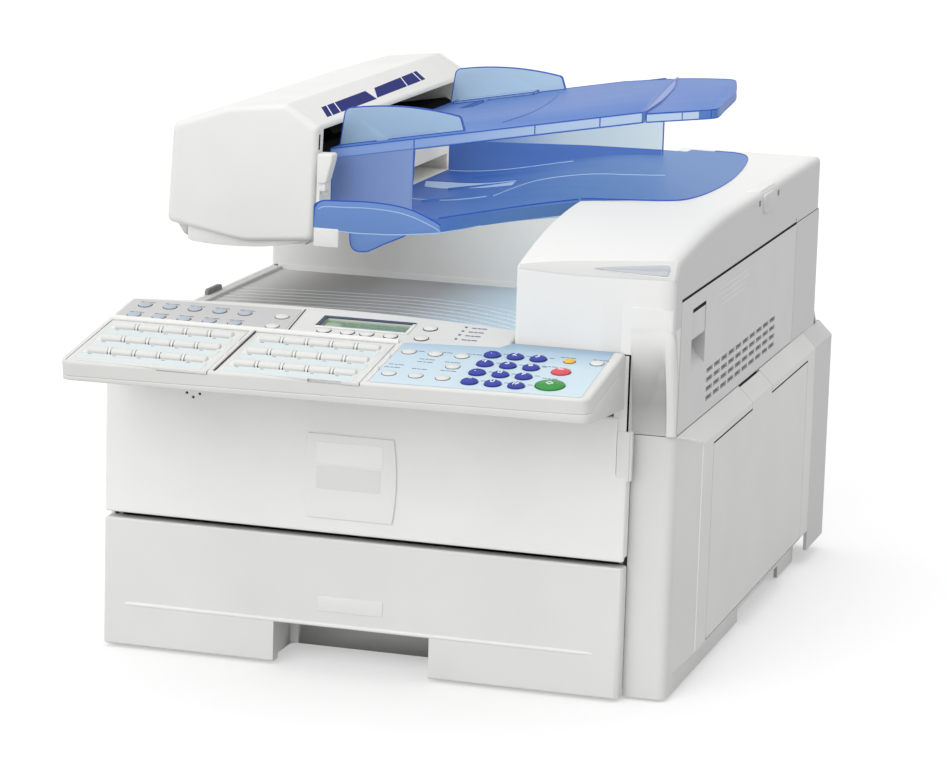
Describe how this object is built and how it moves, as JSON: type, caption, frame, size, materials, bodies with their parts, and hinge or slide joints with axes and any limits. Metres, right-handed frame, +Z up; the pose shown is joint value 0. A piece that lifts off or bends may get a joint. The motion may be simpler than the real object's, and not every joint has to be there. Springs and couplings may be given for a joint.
{
  "type": "laser fax machine",
  "caption": "Desktop laser fax machine with a document feeder, translucent paper trays, a tilted key panel, side doors and a sliding paper cassette.",
  "frame": {"origin": "centre of the overall box on the table, under the rubber feet", "axes": "+X to the machine's right seen from the front, +Y from the front to the back, +Z up"},
  "size_m": [0.393, 0.5646, 0.3718],
  "materials": {
    "body": "satin moulded",
    "panel": "satin moulded",
    "tray_blue": "translucent satin",
    "guide_blue": "translucent satin",
    "metal": "zinc plated",
    "steel": "ground",
    "rubber": "matte",
    "dark": "matte",
    "board": "solder mask",
    "lens": "gloss",
    "lcd": "gloss",
    "key_blue": "gloss",
    "key_white": "satin",
    "key_grey": "satin",
    "key_green": "gloss",
    "key_red": "gloss",
    "key_yellow": "gloss"
  },
  "bodies": {
    "housing": {"chassis_plates": "metal", "chassis_deck": "metal", "rubber_feet": "rubber", "left_cover": "body", "rear_cover": "body", "rear_sockets": "dark", "right_cover": "body", "top_cover": "body", "status_lens": "lens", "output_tray": "body", "rear_riser": "body", "feeder_end_caps": "body", "feeder_base": "body", "image_sensor": "dark", "document_tray": "tray_blue", "exit_tray": "tray_blue", "panel_top": "panel", "panel_base": "panel", "lcd_module": "lcd", "one_touch_keys_left": "key_white", "one_touch_keys_right": "key_white", "function_keys": "key_white", "user_keys": "key_grey", "toner_cartridge": "dark", "laser_unit": "dark", "circuit_boards": "board"},
    "cassette": {"cassette": "body"},
    "lift_plate": {"lift_plate": "metal"},
    "front_cover": {"front_cover": "body", "badge_plate": "body"},
    "side_door": {"side_door": "body"},
    "vent_door": {"vent_door": "body"},
    "feeder_cover": {"feeder_cover": "body"},
    "feeder_lever": {"feeder_lever": "body"},
    "front_guide": {"front_guide": "guide_blue"},
    "rear_guide": {"rear_guide": "guide_blue"},
    "document_extension": {"document_extension": "tray_blue"},
    "flip_plate_left": {"flip_plate_left": "panel"},
    "flip_plate_right": {"flip_plate_right": "panel"},
    "start_key": {"start_key": "key_green"},
    "stop_key": {"stop_key": "key_red"},
    "energy_key": {"energy_key": "key_yellow"},
    "copy_key": {"copy_key": "key_white"},
    "fuser_roller": {"fuser_roller": "steel"},
    "pressure_roller": {"pressure_roller": "rubber"},
    "exit_roller": {"exit_roller": "rubber"},
    "pickup_roller": {"pickup_roller": "rubber"},
    "feed_roller": {"feed_roller": "rubber"},
    "dial_key_1": {"dial_key_1": "key_blue"},
    "dial_key_2": {"dial_key_2": "key_blue"},
    "dial_key_3": {"dial_key_3": "key_blue"},
    "dial_key_4": {"dial_key_4": "key_blue"},
    "dial_key_5": {"dial_key_5": "key_blue"},
    "dial_key_6": {"dial_key_6": "key_blue"},
    "dial_key_7": {"dial_key_7": "key_blue"},
    "dial_key_8": {"dial_key_8": "key_blue"},
    "dial_key_9": {"dial_key_9": "key_blue"},
    "dial_key_star": {"dial_key_star": "key_blue"},
    "dial_key_0": {"dial_key_0": "key_blue"},
    "dial_key_hash": {"dial_key_hash": "key_blue"}
  },
  "joints": [
    {"name": "cassette_slide", "type": "slide", "parent": "housing", "child": "cassette", "axis": [0, -1, 0], "range_m": [0, 0.25]},
    {"name": "lift_plate_hinge", "type": "hinge", "parent": "cassette", "child": "lift_plate", "pos_m": [-0.1264, 0.00327, 0.0104], "axis": [0, -1, 0], "range_deg": [0, 9]},
    {"name": "front_cover_hinge", "type": "hinge", "parent": "housing", "child": "front_cover", "pos_m": [-0.019, -0.17673, 0.097], "axis": [1, 0, 0], "range_deg": [0, 80]},
    {"name": "side_door_hinge", "type": "hinge", "parent": "housing", "child": "side_door", "pos_m": [0.19525, 0.04627, 0.0292], "axis": [0, 1, 0], "range_deg": [0, 80]},
    {"name": "vent_door_hinge", "type": "hinge", "parent": "housing", "child": "vent_door", "pos_m": [0.18525, 0.18002, 0.218], "axis": [0, 0, 1], "range_deg": [0, 90]},
    {"name": "feeder_cover_hinge", "type": "hinge", "parent": "housing", "child": "feeder_cover", "pos_m": [-0.1825, 0.08127, 0.305], "axis": [0, -1, 0], "range_deg": [0, 55]},
    {"name": "feeder_lever_hinge", "type": "hinge", "parent": "housing", "child": "feeder_lever", "pos_m": [-0.0795, -0.08473, 0.306], "axis": [0, 1, 0], "range_deg": [0, 20], "stiffness_Nm_per_rad": 0.05},
    {"name": "front_guide_slide", "type": "slide", "parent": "housing", "child": "front_guide", "axis": [0, 1, 0], "range_m": [0, 0.0545]},
    {"name": "rear_guide_slide", "type": "slide", "parent": "housing", "child": "rear_guide", "axis": [0, -1, 0], "range_m": [0, 0.0545]},
    {"name": "document_extension_slide", "type": "slide", "parent": "housing", "child": "document_extension", "axis": [0.9842, 0, 0.1771], "range_m": [0, 0.06]},
    {"name": "flip_plate_left_hinge", "type": "hinge", "parent": "housing", "child": "flip_plate_left", "pos_m": [-0.137, -0.20288, 0.22467], "axis": [-1, 0, 0], "range_deg": [0, 100]},
    {"name": "flip_plate_right_hinge", "type": "hinge", "parent": "housing", "child": "flip_plate_right", "pos_m": [-0.038, -0.20288, 0.22467], "axis": [-1, 0, 0], "range_deg": [0, 100]},
    {"name": "fuser_roller_spin", "type": "hinge", "parent": "housing", "child": "fuser_roller", "pos_m": [0.1255, 0.08127, 0.238], "axis": [0, 1, 0], "continuous": true},
    {"name": "pressure_roller_spin", "type": "hinge", "parent": "housing", "child": "pressure_roller", "pos_m": [0.153, 0.08127, 0.238], "axis": [0, 1, 0], "continuous": true},
    {"name": "exit_roller_spin", "type": "hinge", "parent": "housing", "child": "exit_roller", "pos_m": [0.0945, 0.08127, 0.247], "axis": [0, 1, 0], "continuous": true},
    {"name": "pickup_roller_spin", "type": "hinge", "parent": "housing", "child": "pickup_roller", "pos_m": [0.1255, -0.00773, 0.076], "axis": [0, 1, 0], "continuous": true},
    {"name": "feed_roller_spin", "type": "hinge", "parent": "housing", "child": "feed_roller", "pos_m": [-0.1205, 0.08127, 0.32], "axis": [0, 1, 0], "continuous": true},
    {"name": "start_key_slide", "type": "slide", "parent": "housing", "child": "start_key", "axis": [0, 0.1564, -0.9877], "range_m": [0, 0.001], "stiffness_N_per_m": 200},
    {"name": "stop_key_slide", "type": "slide", "parent": "housing", "child": "stop_key", "axis": [0, 0.1564, -0.9877], "range_m": [0, 0.001], "stiffness_N_per_m": 200},
    {"name": "energy_key_slide", "type": "slide", "parent": "housing", "child": "energy_key", "axis": [0, 0.1564, -0.9877], "range_m": [0, 0.001], "stiffness_N_per_m": 200},
    {"name": "copy_key_slide", "type": "slide", "parent": "housing", "child": "copy_key", "axis": [0, 0.1564, -0.9877], "range_m": [0, 0.001], "stiffness_N_per_m": 200},
    {"name": "dial_key_1_slide", "type": "slide", "parent": "housing", "child": "dial_key_1", "axis": [0, 0.1564, -0.9877], "range_m": [0, 0.001], "stiffness_N_per_m": 200},
    {"name": "dial_key_2_slide", "type": "slide", "parent": "housing", "child": "dial_key_2", "axis": [0, 0.1564, -0.9877], "range_m": [0, 0.001], "stiffness_N_per_m": 200},
    {"name": "dial_key_3_slide", "type": "slide", "parent": "housing", "child": "dial_key_3", "axis": [0, 0.1564, -0.9877], "range_m": [0, 0.001], "stiffness_N_per_m": 200},
    {"name": "dial_key_4_slide", "type": "slide", "parent": "housing", "child": "dial_key_4", "axis": [0, 0.1564, -0.9877], "range_m": [0, 0.001], "stiffness_N_per_m": 200},
    {"name": "dial_key_5_slide", "type": "slide", "parent": "housing", "child": "dial_key_5", "axis": [0, 0.1564, -0.9877], "range_m": [0, 0.001], "stiffness_N_per_m": 200},
    {"name": "dial_key_6_slide", "type": "slide", "parent": "housing", "child": "dial_key_6", "axis": [0, 0.1564, -0.9877], "range_m": [0, 0.001], "stiffness_N_per_m": 200},
    {"name": "dial_key_7_slide", "type": "slide", "parent": "housing", "child": "dial_key_7", "axis": [0, 0.1564, -0.9877], "range_m": [0, 0.001], "stiffness_N_per_m": 200},
    {"name": "dial_key_8_slide", "type": "slide", "parent": "housing", "child": "dial_key_8", "axis": [0, 0.1564, -0.9877], "range_m": [0, 0.001], "stiffness_N_per_m": 200},
    {"name": "dial_key_9_slide", "type": "slide", "parent": "housing", "child": "dial_key_9", "axis": [0, 0.1564, -0.9877], "range_m": [0, 0.001], "stiffness_N_per_m": 200},
    {"name": "dial_key_star_slide", "type": "slide", "parent": "housing", "child": "dial_key_star", "axis": [0, 0.1564, -0.9877], "range_m": [0, 0.001], "stiffness_N_per_m": 200},
    {"name": "dial_key_0_slide", "type": "slide", "parent": "housing", "child": "dial_key_0", "axis": [0, 0.1564, -0.9877], "range_m": [0, 0.001], "stiffness_N_per_m": 200},
    {"name": "dial_key_hash_slide", "type": "slide", "parent": "housing", "child": "dial_key_hash", "axis": [0, 0.1564, -0.9877], "range_m": [0, 0.001], "stiffness_N_per_m": 200}
  ],
  "couplings": [
    {"joint": "pressure_roller_spin", "follows": "fuser_roller_spin", "ratio": -1.0769},
    {"joint": "rear_guide_slide", "follows": "front_guide_slide", "ratio": 1}
  ]
}
